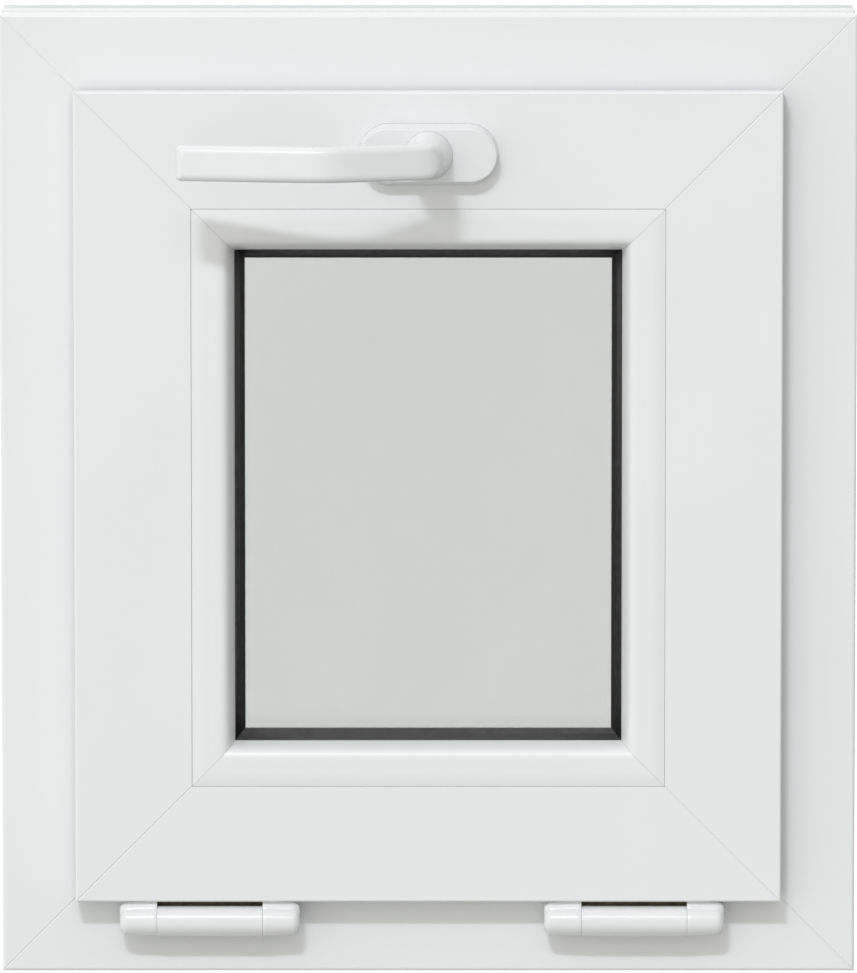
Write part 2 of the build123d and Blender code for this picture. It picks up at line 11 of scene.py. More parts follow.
import bpy
import numpy as np
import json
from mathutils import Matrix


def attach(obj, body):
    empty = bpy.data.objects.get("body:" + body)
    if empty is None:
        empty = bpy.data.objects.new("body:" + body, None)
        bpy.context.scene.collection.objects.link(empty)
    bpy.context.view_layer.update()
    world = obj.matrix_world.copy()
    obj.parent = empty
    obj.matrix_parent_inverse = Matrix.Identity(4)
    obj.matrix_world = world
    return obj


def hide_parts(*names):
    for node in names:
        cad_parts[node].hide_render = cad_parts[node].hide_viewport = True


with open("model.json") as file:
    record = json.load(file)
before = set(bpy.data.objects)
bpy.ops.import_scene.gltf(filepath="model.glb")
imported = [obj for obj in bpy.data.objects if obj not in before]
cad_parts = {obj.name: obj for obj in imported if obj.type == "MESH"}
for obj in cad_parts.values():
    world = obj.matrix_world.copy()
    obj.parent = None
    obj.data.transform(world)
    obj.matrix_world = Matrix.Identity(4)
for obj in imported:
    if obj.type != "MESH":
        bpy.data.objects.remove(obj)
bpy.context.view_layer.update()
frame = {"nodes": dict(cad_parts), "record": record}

# %% [markdown]
# ## The sizes that the new skins share
#
# A window is drawn in sections, so most sizes here are of two kinds: how far a line lies inwards from the outer
# edge of the window, and how deep it lies, from the room towards the garden. They could be typed again in each
# step, but a joiner writes them once on the plan, and so does this cell. They are in millimetres, because that is
# how such drawings are read, and one factor turns them into metres at the very end.

# %% Write the plan
mm = 0.001
window_width, window_height = 400.0, 450.0
sash_face = -50.0
bead_start, bead_end, bead_nose = 89.6, 109.6, -37.0
glass_face = -27.0
handle_height, grip_thickness = 386.0, 9.0
hinge_depth, hinge_height = -45.0, 25.2
hinge_middles = (-102.3, 96.4)
sides = ("bottom", "right", "top", "left")
print("the plan is", window_width, "by", window_height, "mm, with the beads from", bead_start, "to", bead_end)

# %% [markdown]
# ## From rows of points to a closed skin
#
# A skin is a table of points: one parameter runs along the rows, the other along the columns. Four neighbours make
# one small face. The faces could be listed one by one in a loop, but a table of point numbers, shifted by one row
# and one column against itself, gives all of them at once. Each row is an outline that closes on itself, so the
# first column is repeated after the last.

# %% Join the points of a table


def face_table(rows, columns, first=0):
    """Four point numbers for each small face: a cell of the table with its neighbours one row and one column on."""
    numbers = np.arange(rows * columns).reshape(rows, columns) + first
    numbers = np.hstack([numbers, numbers[:, :1]])
    cells = [numbers[:-1, :-1], numbers[:-1, 1:], numbers[1:, 1:], numbers[1:, :-1]]
    return np.stack(cells, axis=-1).reshape(-1, 4)


print("a table of 3 rows and 4 columns has", len(face_table(3, 4)), "faces")

# %% [markdown]
# A skin that is closed one way is still open at its two ends, like a length of pipe. The ends could be pulled to a
# point, but most of these pieces are sawn or moulded flat there, so each end gets one flat face with many corners.
# The faces are then turned outwards, and edges sharper than a set angle stay crisp while the rest is shaded round.

# %% Turn tables into pieces
import bmesh


def put_in_scene(name, data):
    """Puts a new object with these data into the scene."""
    thing = bpy.data.objects.new(name, data)
    bpy.context.scene.collection.objects.link(thing)
    return thing


def make_piece(name, skins, crisp):
    """One object from skins in millimetres. A skin is a table of points and a word: "capped" closes both ends flat,
    and "drawn" is closed already, with lines or points as its first and last rows, whose doubles are merged. Edges
    that turn by more than crisp degrees stay sharp."""
    points, faces, first = [], [], 0
    for table, ends in skins:
        rows, columns = table.shape[:2]
        faces += face_table(rows, columns, first).tolist()
        if ends == "capped":
            last = first + (rows - 1) * columns
            faces += [list(range(first, first + columns)), list(range(last, last + columns))]
        points.append(table.reshape(-1, 3) * mm)
        first += rows * columns
    mesh = bpy.data.meshes.new(name)
    mesh.from_pydata(np.concatenate(points).tolist(), [], faces)
    work = bmesh.new()
    work.from_mesh(mesh)
    if any(ends == "drawn" for _, ends in skins):
        bmesh.ops.remove_doubles(work, verts=work.verts, dist=2e-6)
        bmesh.ops.dissolve_degenerate(work, edges=work.edges, dist=1e-6)
    bmesh.ops.recalc_face_normals(work, faces=work.faces)
    work.to_mesh(mesh)
    work.free()
    mesh.polygons.foreach_set("use_smooth", np.ones(len(mesh.polygons), dtype=bool))
    mesh.set_sharp_from_angle(angle=math.radians(crisp))
    mesh.update()
    return put_in_scene(name, mesh)


def settle(piece, body, slot, *nodes):
    """Says what the piece moves with and which measured nodes it stands for, and hides those nodes. The slot is not
    used.
    """
    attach(piece, body)
    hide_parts(*nodes)
    print(piece.name, "rides on", body, "with", len(piece.data.polygons), "faces, for", ", ".join(nodes))


# %% [markdown]
# ## A picture frame from one profile
#
# Beads, gaskets and bars are all cut the same way: a long straight section, sawn at 45 degrees. They could be drawn
# as boxes and cut with a boolean, but there is a shorter way. A point of the profile that lies a certain way in
# from the edge of the window meets each corner at that same distance from both edges. So one profile placed at the
# four corners gives all four bars: each bar is the skin between one corner and the next.

# %% Place a profile at the four corners


def at_corners(profile):
    """The profile at the four corners, lower left first. Its first measure, the way in from the edge, is taken off
    half the width and off the height alike; its second measure is the depth."""
    inwards, depth = profile.T
    across = window_width / 2 - inwards
    low, high = inwards, window_height - inwards
    lines = [(-across, depth, low), (across, depth, low), (across, depth, high), (-across, depth, high)]
    return np.array([np.stack(line, axis=-1) for line in lines])


def mitred_bar(profile, side, gap=0.05):
    """The skin between two corners, each end drawn back by a hair so that the mitre shows as a line."""
    corners = at_corners(profile)
    ends = corners[[side, (side + 1) % 4]].copy()
    along = ends[1, 0] - ends[0, 0]
    along = along / np.linalg.norm(along)
    ends[0] += gap * along
    ends[1] -= gap * along
    return ends


print("corners of the glazing line", at_corners(np.array([[bead_end, bead_nose]]))[:, 0].tolist())

# %% [markdown]
# ## The glazing beads
#
# A bead is the strip that holds the glass in the sash, clipped in from the room. On this window it has the shape
# that joiners call ovolo: nearly flat where it meets the sash, and falling faster and faster towards the glass. A
# circle would fall too early. A power curve does it right: the fall grows with the sixth power of the way across,
# so half of the bead looks flat and the last few millimetres turn down almost to upright.

# %% Draw and cut the beads


def ovolo(flat=7.5, dip=0.3, lean=0.4, steps=28):
    """Outer line of the bead: up its side, round a small edge, and over the crown. Over the flat part the depth
    leans in evenly; past it the extra depth is the whole fall times the sixth power of the share of the width that
    is behind it."""
    side = np.array([[0.0, 4.0], [0.0, dip + 0.25], [0.08, dip + 0.08], [0.3, dip]]) + (bead_start, sash_face)
    turn = bead_start + flat
    share = np.sin(np.linspace(0.0, np.pi / 2, steps))
    crown_depth = sash_face + dip + lean
    crown = np.column_stack([turn + (bead_end - turn) * share, crown_depth + (bead_nose - crown_depth) * share ** 6])
    return np.vstack([side, crown])


# The back runs under the nose, along the wall beside the rubber, over the floor, and up the hook in the sash.
under_nose = bead_nose + 0.1
bead_wall, bead_floor, hook_edge, hook_top = 106.6, -30.5, 88.1, -41.2
bead_back = np.array([[bead_end, under_nose], [bead_wall, under_nose], [bead_wall, bead_floor],
                      [hook_edge, bead_floor], [hook_edge, hook_top], [bead_start, hook_top]])
bead_profile = np.vstack([ovolo(), bead_back])
beads = [make_piece(f"ovolo_bead_{name}", [(mitred_bar(bead_profile, number), "capped")], crisp=28)
         for number, name in enumerate(sides)]
for name, bead in zip(sides, beads):
    settle(bead, "window", "white_profile", f"glazing_bead_{name}")

# %% [markdown]
# ## The rubber lip round the glass
#
# Between bead and glass sits a black rubber strip, and what shows of it is a narrow slope that ends in a soft edge
# on the glass. A flat slope would catch the light all at once. The real one sags a little in its middle and rounds
# over at its edge, so its lower strip shows a grey band in the light and a dark line on each side of it.

# %% Press the lip against the glass


def rubber_lip(start=0.15, reach=4.7, sag=0.55, edge=0.7, clear=0.1, steps=14):
    """The slope runs straight from bead to glass, less a sag that follows a half sine; its edge is a half circle.
    The tail lies beside the bead's wall and floor, a tenth of a millimetre clear of them."""
    share = np.linspace(0.0, 1.0, steps)
    foot = glass_face - 2 * edge
    slope = np.column_stack([bead_end + start + (reach - edge - start) * share,
                             bead_nose + (foot - bead_nose) * share + sag * np.sin(np.pi * share)])
    turn = np.linspace(-np.pi / 2, np.pi / 2, 9)[1:-1]
    edge_line = np.column_stack([bead_end + reach - edge + edge * np.cos(turn),
                                 glass_face - edge + edge * np.sin(turn)])
    tail_end, tail_start = bead_end + 2 * clear, bead_wall + clear
    tail = np.array([[tail_end, glass_face - 0.02], [tail_end, bead_floor + clear],
                     [tail_start, bead_floor + clear], [tail_start, under_nose + clear]])
    return np.vstack([slope, edge_line, tail])


lips = [make_piece(f"rubber_lip_{name}", [(mitred_bar(rubber_lip(), number, gap=0.0), "capped")], crisp=50)
        for number, name in enumerate(sides)]
for name, lip in zip(sides, lips):
    settle(lip, "window", "black_gasket", f"bead_gasket_{name}")

# %% [markdown]
# ## Plates with soft edges
#
# The rosette and the grip of the handle are castings: flat forms whose edges are all rounded over. They could be
# boxes with a bevel modifier. A table of points is more exact, because both are the same idea: take the outline,
# draw it in by a small inset, lift it a little, and repeat. The inset and the lift together trace a quarter circle
# at the front and another at the back, and the outline keeps its own corner radius less the inset.

# %% Draw an outline with rounded corners


def rounded_outline(left, right, low, high, left_corner, right_corner, inset=0.0, steps=14):
    """Corner centres stay where they are; each point is its centre plus what is left of the corner radius, after
    the inset, along the angle. The left and right corners may differ."""
    quarters = [(right, high, right_corner, 0), (left, high, left_corner, 1), (left, low, left_corner, 2),
                (right, low, right_corner, 3)]
    angles = np.linspace(0.0, np.pi / 2, steps)
    parts = []
    for x, z, radius, quarter in quarters:
        turned = angles + quarter * np.pi / 2
        centre_x = x - radius if x == right else x + radius
        centre_z = z - radius if z == high else z + radius
        kept = max(radius - inset, 0.0)
        slack = max(inset - radius, 0.0)
        step_x = -slack if x == right else slack
        step_z = -slack if z == high else slack
        parts.append(np.column_stack([centre_x + step_x + kept * np.cos(turned),
                                      centre_z + step_z + kept * np.sin(turned)]))
    return np.vstack(parts)


def soft_edge(thickness, front, back, steps=9):
    """Insets and heights of the loops: from the inner edge of the back, round a quarter circle to the side, up, and
    round the front quarter circle."""
    turn = np.linspace(0.0, np.pi / 2, steps)
    rise = np.column_stack([back - back * np.sin(turn), back - back * np.cos(turn)])
    top = np.column_stack([front - front * np.cos(turn), thickness - front + front * np.sin(turn)])
    return np.vstack([rise, top])


print("a soft edge of 4 mm takes", len(soft_edge(9.0, 4.0, 2.0)), "loops")

# %% [markdown]
# ## The rosette
#
# The rosette is the plate under the handle that hides its screws. Its ends are half circles. Its sides lean inwards,
# so that the upper one catches the light and the lower one stays dark, and a crisp edge leads to a face that is very
# slightly domed. The loops of its outline therefore lose more in height than in width.

# %% Cast the rosette


def rosette_skin(half_width=32.65, half_height=14.5, thickness=9.0, lean=2.0, edge=0.8, dome=0.25, broken=0.15,
                 ends=0.4):
    """Loops of the outline, drawn in and lifted: over the broken edge at the back, up the leaning side, round a
    small quarter circle, and over a face that domes by a parabola. Along the width each inset counts for a share
    of itself only."""
    shoulder, flat = thickness - dome - edge, lean + edge
    turn = np.linspace(0.0, np.pi / 2, 7)
    loops = [(broken, 0.0), (0.0, broken)] + [(lean * share, shoulder * share) for share in (0.25, 0.5, 0.75)]
    loops += [(flat - edge * np.cos(angle), shoulder + edge * np.sin(angle)) for angle in turn]
    for inset in np.linspace(flat + 0.8, half_height - 0.6, 8):
        loops.append((inset, thickness - dome * (1 - (inset - flat) / (half_height - flat)) ** 2))
    table = []
    for inset, height in loops:
        outline = rounded_outline(ends * inset - half_width, half_width - ends * inset,
                                  handle_height - half_height + inset, handle_height + half_height - inset,
                                  half_height - inset, half_height - inset)
        table.append(np.column_stack([outline[:, 0], np.full(len(outline), sash_face - height), outline[:, 1]]))
    return np.array(table)


rosette = make_piece("rosette_cover", [(rosette_skin(), "capped")], crisp=60)
settle(rosette, "window", "white_coat", "handle_rosette")

# %% [markdown]
# ## The handle
#
# The grip is a flat bar that bows towards the room, so that fingers fit behind it, and at its right end it turns
# down into a round neck. The same loops as for the rosette make it, with one thing more: every point is moved in
# depth by the bow, and near the neck by the fall of the elbow. The bow is two straight lines with a soft change
# between them. Their higher one, rounded where they cross, is half their sum plus the root of half their
# difference squared and a small number squared.

# %% Bend and cast the handle


def bow(x, outer_run=(-98.0, -102.6, -0.205), inner_run=(-8.0, -97.9, 0.40), rounding=2.7):
    """Depth of the middle of the grip: the higher of two lines, with their crossing rounded. Each line is given by
    a place, the depth there and the slope."""
    outer, inner = [depth + (x - place) * slope for place, depth, slope in (outer_run, inner_run)]
    return (outer + inner) / 2 + np.sqrt(((outer - inner) / 2) ** 2 + rounding ** 2)


def elbow(x, start=-4.0, end=7.9, fall=9.0, power=2.4):
    """How far the end drops towards the wall: a quarter of a rounded square, none at its start and all at its end."""
    share = np.clip((x - start) / (end - start), 0.0, 1.0)
    return fall * (1 - (1 - share ** power) ** (1 / power))


def grip_loops(left=-116.0, right=7.9, half_height=8.3, tip_corner=2.4, front_edge=3.6, back_edge=2.6):
    """The flat grip before it is bent: loops from the middle of the back, round the soft edge, to the middle of the
    front. Columns are x, height above the back, z."""
    back = np.linspace(half_height, back_edge + 0.4, 6)
    front = np.linspace(front_edge + 0.8, half_height, 6)
    loops = [(inset, 0.0) for inset in back]
    loops += soft_edge(grip_thickness, front_edge, back_edge).tolist()
    loops += [(inset, grip_thickness) for inset in front]
    table = []
    for inset, height in loops:
        outline = rounded_outline(left, right, handle_height - half_height, handle_height + half_height,
                                  tip_corner, half_height, inset)
        table.append(np.column_stack([outline[:, 0], np.full(len(outline), height), outline[:, 1]]))
    return np.array(table)


def with_long_runs_cut(table, longest=3.0):
    """Adds evenly spaced points along the straight runs of every loop, so that the bow has something to bend."""
    following = np.roll(table, -1, axis=1)
    counts = np.ceil(np.abs(following - table)[:, :, 0].max(axis=0) / longest).astype(int)
    counts = np.maximum(counts, 1)
    start = np.repeat(np.arange(table.shape[1]), counts)
    share = np.concatenate([np.arange(count) / count for count in counts])
    return table[:, start] + (following[:, start] - table[:, start]) * share[None, :, None]


def bent_grip():
    """The loops with their height turned into depth: the bow, half the thickness, less the height, plus the elbow."""
    x, height, z = np.moveaxis(with_long_runs_cut(grip_loops()), -1, 0)
    return np.stack([x, bow(x) + grip_thickness / 2 - height + elbow(x), z], axis=-1)


print("the bow comes out to", round(float(bow(np.linspace(-115, 5, 60)).min()), 1), "mm in depth")

# %% [markdown]
# The neck is a turned form: a radius that changes along an axis. It is widest at the rosette and narrows towards
# the grip, quickly at first and then slowly, like the foot of a wine glass. Its foot stops a hair above the rosette,
# because it turns and the rosette does not.

# %% Turn the neck and join it to the grip


def turned_neck(foot=11.4, tip=7.0, start=-59.03, end=-89.0, broken=0.1, dome=4.5, narrowing=4.0, rows=16,
                columns=56):
    """Radius at a share of the way: the tip's, plus the rest times the remaining share to the power 1.5. The foot's
    rim is broken by a quarter circle of a tenth of a millimetre, and a quarter ellipse ends it inside the grip."""
    share = np.linspace(0.0, 1.0, rows)
    rim = np.linspace(0.0, np.pi / 2, 4)[:-1]
    turn = np.linspace(0.0, np.pi / 2, 7)[1:]
    radius = np.concatenate([foot - broken + broken * np.sin(rim), tip + (foot - tip) * (1 - share) ** 1.5,
                             tip - narrowing * (1 - np.cos(turn))])
    depth = np.concatenate([start - broken + broken * np.cos(rim),
                            start + (end - start) * share - broken * (1 - share), end - dome * np.sin(turn)])
    angle = np.linspace(0.0, 2 * np.pi, columns, endpoint=False)
    return np.stack([radius[:, None] * np.cos(angle), np.repeat(depth[:, None], columns, axis=1),
                     handle_height + radius[:, None] * np.sin(angle)], axis=-1)


lever = make_piece("bowed_lever", [(bent_grip(), "drawn"), (turned_neck(), "capped")], crisp=60)
settle(lever, "handle", "white_coat", "handle_lever")

# %% [markdown]
# ## The hinge barrels
#
# Each hinge is a barrel in three parts: a white sleeve in the middle, fixed to the frame, and two caps that belong
# to the sash. They share one axis. A cap isn't quite round: a pad runs up from it to the sash. The section is
# therefore a radius for every angle, the larger of the circle and the pad, where the pad ends at the nearest of the
# straight lines that bound it. Along the axis the radius shrinks a little, and rounds over at the end.

# %% Shape the caps


def cap_radius(angle, circle=7.1, top=9.7, back=9.0, front=5.56, front_lean=2.783, pad_end=2.2):
    """Larger of the circle and the pad. The pad reaches a straight line at its distance over the cosine of the
    angle between the line's normal and the ray, and the nearest line counts."""
    def reach(distance, direction):
        facing = np.cos(angle - direction)
        return np.where(facing > 0.02, distance / np.maximum(facing, 0.02), 1e3)
    pad = np.minimum(np.minimum(reach(top, np.pi / 2), reach(back, 0.0)), reach(front, front_lean))
    return np.where((angle >= 0.0) & (angle <= pad_end), np.maximum(circle, pad), circle)


def cap_skin(split, end, length=17.4, rounding=3.6, taper=0.6, broken=0.06, clear=0.05):
    """Stations from the split to the end; each takes the taper and the quarter circle off the radius. The edge at
    the split is broken, and the angles include the corners of the pad."""
    straight = np.array([0.0, 2 * broken, 2.0, 5.0, 8.0, 11.0, length - rounding])
    turn = np.linspace(0.0, np.pi / 2, 10)[1:]
    stations = np.concatenate([straight, length - rounding + rounding * np.sin(turn)])
    inset = np.concatenate([[broken], np.zeros(len(straight) - 1), rounding * (1 - np.cos(turn))])
    inset = inset + taper * stations / length
    pad_corners = [-1e-4, 2e-4, 0.8227, 1.8037]
    angle = np.sort(np.concatenate([np.linspace(-np.pi, np.pi, 72, endpoint=False), pad_corners]))
    radius = np.maximum(cap_radius(angle)[None, :] - inset[:, None], 0.5)
    x = split + end * (stations + clear)
    return np.stack([np.repeat(x[:, None], len(angle), axis=1), hinge_depth + radius * np.cos(angle),
                     hinge_height + radius * np.sin(angle)], axis=-1)


def strap_skin(outline, start, length):
    """A bent strip: its outline, as depth and height, at both ends of its length."""
    depth, height = np.array(outline).T
    return np.array([np.column_stack([np.full(len(depth), x), depth, height]) for x in (start, start + length)])


# The strip is 2 mm thick: from the pin inwards, up behind the flap, and in under the sash.
sash_strap = [(-45, 25.2), (-45, 23.2), (-36, 23.2), (-36, 53), (-22, 53), (-22, 55), (-38, 55), (-38, 25.2)]
split_place, strap_length = 24.7, 13.7
skins = []
for middle in hinge_middles:
    for end in (-1, 1):
        split = middle + end * split_place
        skins.append((cap_skin(split, end), "capped"))
        skins.append((strap_skin(sash_strap, min(split, split + end * strap_length), strap_length), "capped"))
caps = make_piece("hinge_caps", skins, crisp=40)
settle(caps, "window", "white_coat", "hinge_knuckles")

# %% [markdown]
# The sleeve is a tube with a slit along its back, where the steel leaf comes out. In section that is a letter C: an
# outer arc one way and an inner arc back. It is carried along the axis, with its ends broken by a small slope, so
# that the two joints of each barrel show as thin lines.

# %% Shape the sleeves


def sleeve_skin(middle, length=49.3, outer=7.2, inner=5.1, broken=0.1, slit=(-0.31, 0.03), steps=60):
    """The letter C at four stations, between the two angles of the slit; at the first and last station the outer
    radius is less by the broken edge."""
    sweep = np.linspace(slit[1], 2 * np.pi + slit[0], steps)
    angle = np.concatenate([sweep, sweep[::-1]])
    radius = np.repeat([outer, inner], steps)
    rows = []
    for along, less in ((0, broken), (broken, 0), (length - broken, 0), (length, broken)):
        kept = radius - less * (radius > inner)
        rows.append(np.column_stack([np.full(2 * steps, middle - length / 2 + along),
                                     hinge_depth + kept * np.cos(angle), hinge_height + kept * np.sin(angle)]))
    return np.array(rows)


sleeves = make_piece("hinge_sleeve_covers", [(sleeve_skin(middle), "capped") for middle in hinge_middles], crisp=30)
settle(sleeves, "window", "white_coat", "hinge_sleeves")

# %% [markdown]
# ## Finishes
#
# Every finish below is worked out from a position on the object, so it needs no pictures. The helpers keep the node
# trees short: one makes the shader, one says how a noise is drawn out along an axis, one adds the noise, one turns
# it into a range of numbers or tints, and one into a small unevenness of the surface. Distances are in metres, so a
# noise scale of 1000 means grains of about a millimetre.

# %% Helpers for finishes


def new_finish(name, colour, roughness, **sockets):
    """A node material with one shader, its plain values set on the shader's own sockets."""
    finish = bpy.data.materials.new(name)
    finish.use_nodes = True
    shader = finish.node_tree.nodes["Principled BSDF"]
    shader.inputs["Base Color"].default_value = (*colour, 1.0)
    shader.inputs["Roughness"].default_value = roughness
    for socket, value in sockets.items():
        shader.inputs[socket.replace("_", " ")].default_value = value
    return finish, shader


def drawn_along(axis, stretch):
    """Scales of a noise that is drawn out along one axis, the more the smaller the stretch is."""
    return [stretch if number == axis else 1.0 for number in range(3)]


def noise(finish, scale, stretch=(1.0, 1.0, 1.0), detail=3.0):
    """A noise on the object's own coordinates; a stretch below 1 draws it out along that axis."""
    nodes, links = finish.node_tree.nodes, finish.node_tree.links
    place = nodes.new("ShaderNodeTexCoord")
    turn = nodes.new("ShaderNodeMapping")
    turn.inputs["Scale"].default_value = stretch
    grains = nodes.new("ShaderNodeTexNoise")
    grains.inputs["Scale"].default_value = scale
    grains.inputs["Detail"].default_value = detail
    links.new(place.outputs["Object"], turn.inputs["Vector"])
    links.new(turn.outputs["Vector"], grains.inputs["Vector"])
    return grains.outputs["Fac"]


def between(finish, factor, low, high, start=0.35, end=0.65):
    """A number or a colour that runs from low to high while the noise runs from start to end."""
    nodes, links = finish.node_tree.nodes, finish.node_tree.links
    if isinstance(low, float):
        spread = nodes.new("ShaderNodeMapRange")
        for socket, value in (("From Min", start), ("From Max", end), ("To Min", low), ("To Max", high)):
            spread.inputs[socket].default_value = value
        links.new(factor, spread.inputs["Value"])
        return spread.outputs["Result"]
    ramp = nodes.new("ShaderNodeValToRGB")
    ramp.color_ramp.elements[0].position, ramp.color_ramp.elements[1].position = start, end
    ramp.color_ramp.elements[0].color, ramp.color_ramp.elements[1].color = (*low, 1.0), (*high, 1.0)
    links.new(factor, ramp.inputs["Fac"])
    return ramp.outputs["Color"]


def uneven(finish, shader, layers):
    """Stacks bumps, each a height, a strength and a depth in metres, and gives them to the shader."""
    nodes, links = finish.node_tree.nodes, finish.node_tree.links
    below = None
    for height, strength, depth in layers:
        bump = nodes.new("ShaderNodeBump")
        bump.inputs["Strength"].default_value = strength
        bump.inputs["Distance"].default_value = depth
        links.new(height, bump.inputs["Height"])
        if below is not None:
            links.new(below, bump.inputs["Normal"])
        below = bump.outputs["Normal"]
    links.new(below, shader.inputs["Normal"])


print("helpers ready")

# %% [markdown]
# ## White window plastic
#
# The bars are pressed through a die in one long run, so their skin carries very fine lines along the bar, and a
# slow waviness that only the highlights show. Its white is neutral with a touch of blue, never pure. Bars that lie
# and bars that stand need the lines along different axes, so the finish is made twice from one recipe.

# %% Mix the window plastic


def window_plastic(name, along):
    """White, two tints apart by a slow noise; gloss that varies by fine lines; lines and waves as unevenness."""
    finish, shader = new_finish(name, (0.79, 0.80, 0.812), 0.3, Specular_IOR_Level=0.45)
    links = finish.node_tree.links
    lines = noise(finish, 900.0, drawn_along(along, 0.02), 2.0)
    waves = noise(finish, 22.0, detail=1.0)
    tint = between(finish, noise(finish, 9.0), (0.782, 0.793, 0.806), (0.798, 0.807, 0.817))
    links.new(tint, shader.inputs["Base Color"])
    links.new(between(finish, lines, 0.3, 0.34), shader.inputs["Roughness"])
    uneven(finish, shader, [(waves, 0.12, 0.0003), (lines, 0.02, 0.00001)])
    return finish


lying_plastic = window_plastic("window_plastic_lying", 0)
standing_plastic = window_plastic("window_plastic_standing", 2)
print("made", lying_plastic.name, "and", standing_plastic.name)

# %% [markdown]
# ## Coated castings and moulded caps
#
# Handle, rosette and hinge barrels are glossier than the bars. A fired coating levels out before it sets and keeps
# a very shallow orange peel of about two millimetres a cell, which softens the highlights on the round edges.

# %% Mix the coating
coating, shader = new_finish("fired_white_coating", (0.765, 0.777, 0.79), 0.2, Specular_IOR_Level=0.5,
                             Coat_Weight=0.1, Coat_Roughness=0.08)
links = coating.node_tree.links
peel = noise(coating, 520.0, detail=1.5)
tint = between(coating, noise(coating, 60.0), (0.758, 0.770, 0.783), (0.772, 0.783, 0.795))
links.new(tint, shader.inputs["Base Color"])
links.new(between(coating, peel, 0.18, 0.24), shader.inputs["Roughness"])
uneven(coating, shader, [(peel, 0.1, 0.00005)])
print("made", coating.name)

# %% [markdown]
# ## Black rubber
#
# Gaskets are extruded too, but rubber is dull and nearly black, with a fine grain. Its colour also holds painted
# light
# and painted shade: how far the surface points upwards blends a dark tint and a much lighter one, so the strip below
# the glass is painted greyer, as if lit from above, and the one above it darker, as if in shade. Both tints are
# uneven by the same noise, which also varies the gloss.

# %% Mix the rubber
rubber, shader = new_finish("black_rubber", (0.06, 0.06, 0.06), 0.55, Specular_IOR_Level=0.25)
rubber_patches = noise(rubber, 260.0, detail=5.0)
nodes, links = rubber.node_tree.nodes, rubber.node_tree.links
facing = nodes.new("ShaderNodeSeparateXYZ")
links.new(nodes.new("ShaderNodeNewGeometry").outputs["Normal"], facing.inputs["Vector"])
# Painted shade where the rubber faces down, painted light where it faces up.
painted_shade_tint, painted_light_tint = between(rubber, rubber_patches, 0.011, 0.019), between(rubber, rubber_patches, 0.065, 0.09)
painted_light_by_facing = nodes.new("ShaderNodeMapRange")
links.new(facing.outputs["Z"], painted_light_by_facing.inputs["Value"])
painted_light_by_facing.inputs["From Min"].default_value, painted_light_by_facing.inputs["From Max"].default_value = 0.0, 0.5
links.new(painted_shade_tint, painted_light_by_facing.inputs["To Min"])
links.new(painted_light_tint, painted_light_by_facing.inputs["To Max"])
links.new(painted_light_by_facing.outputs["Result"], shader.inputs["Base Color"])
links.new(between(rubber, rubber_patches, 0.5, 0.62), shader.inputs["Roughness"])
uneven(rubber, shader, [(noise(rubber, 2600.0), 0.2, 0.00003)])
print("made", rubber.name)

# %% [markdown]
# ## Metals
#
# The leaf of each hinge is steel with a yellowish passivated skin, seen only as a dark strip above the barrel. The
# pin is bright drawn steel, and the bar between the panes is rolled aluminium. All three share a recipe: a metal
# whose tint and gloss drift with a patchy noise, and whose fine lines run the way the metal was drawn.

# %% Mix the metals


def drawn_metal(name, dark, light, roughness, along, patches):
    """Metal with a patchy tint and lines along one axis."""
    finish, shader = new_finish(name, dark, roughness, Metallic=1.0)
    links = finish.node_tree.links
    lines = noise(finish, 1500.0, drawn_along(along, 0.03))
    links.new(between(finish, noise(finish, patches), dark, light), shader.inputs["Base Color"])
    links.new(between(finish, lines, roughness - 0.06, roughness + 0.08), shader.inputs["Roughness"])
    uneven(finish, shader, [(lines, 0.15, 0.00002)])
    return finish


leaf_steel = drawn_metal("passivated_leaf_steel", (0.16, 0.15, 0.09), (0.24, 0.22, 0.13), 0.42, 0, 240.0)
pin_steel = drawn_metal("drawn_pin_steel", (0.5, 0.5, 0.51), (0.58, 0.58, 0.58), 0.25, 0, 400.0)
spacer_metal = drawn_metal("rolled_spacer_metal", (0.6, 0.61, 0.62), (0.7, 0.7, 0.7), 0.35, 0, 150.0)
print("made", leaf_steel.name, pin_steel.name, spacer_metal.name)

# %% [markdown]
# ## Glass
#
# Float glass is almost clear. What shows that a pane is there is a faint reflection, and the share of the light that
# each pane takes: the white room behind shows as a soft grey. That share is a tint here, which drifts slowly from
# place to place, as thickness and coating do on a real pane.

# %% Mix the glass
glass, shader = new_finish("float_glass", (0.662, 0.667, 0.662), 0.0, Transmission_Weight=1.0, IOR=1.5)
tint = between(glass, noise(glass, 9.0, drawn_along(2, 0.5), 2.0), (0.658, 0.665, 0.661), (0.666, 0.673, 0.668))
glass.node_tree.links.new(tint, shader.inputs["Base Color"])
print("made", glass.name)

# %% [markdown]
# ## Giving every piece its finish
#
# A measured piece keeps its mesh and only has the material in its slots exchanged. The new skins have no slots yet,
# so they get one. Which plastic a bar takes depends on whether it lies or stands.

# %% Hand out the finishes


def coat(piece, finish):
    """Puts the finish into every slot, and adds a slot where there is none."""
    if not piece.data.materials:
        piece.data.materials.append(finish)
    for number in range(len(piece.data.materials)):
        piece.data.materials[number] = finish


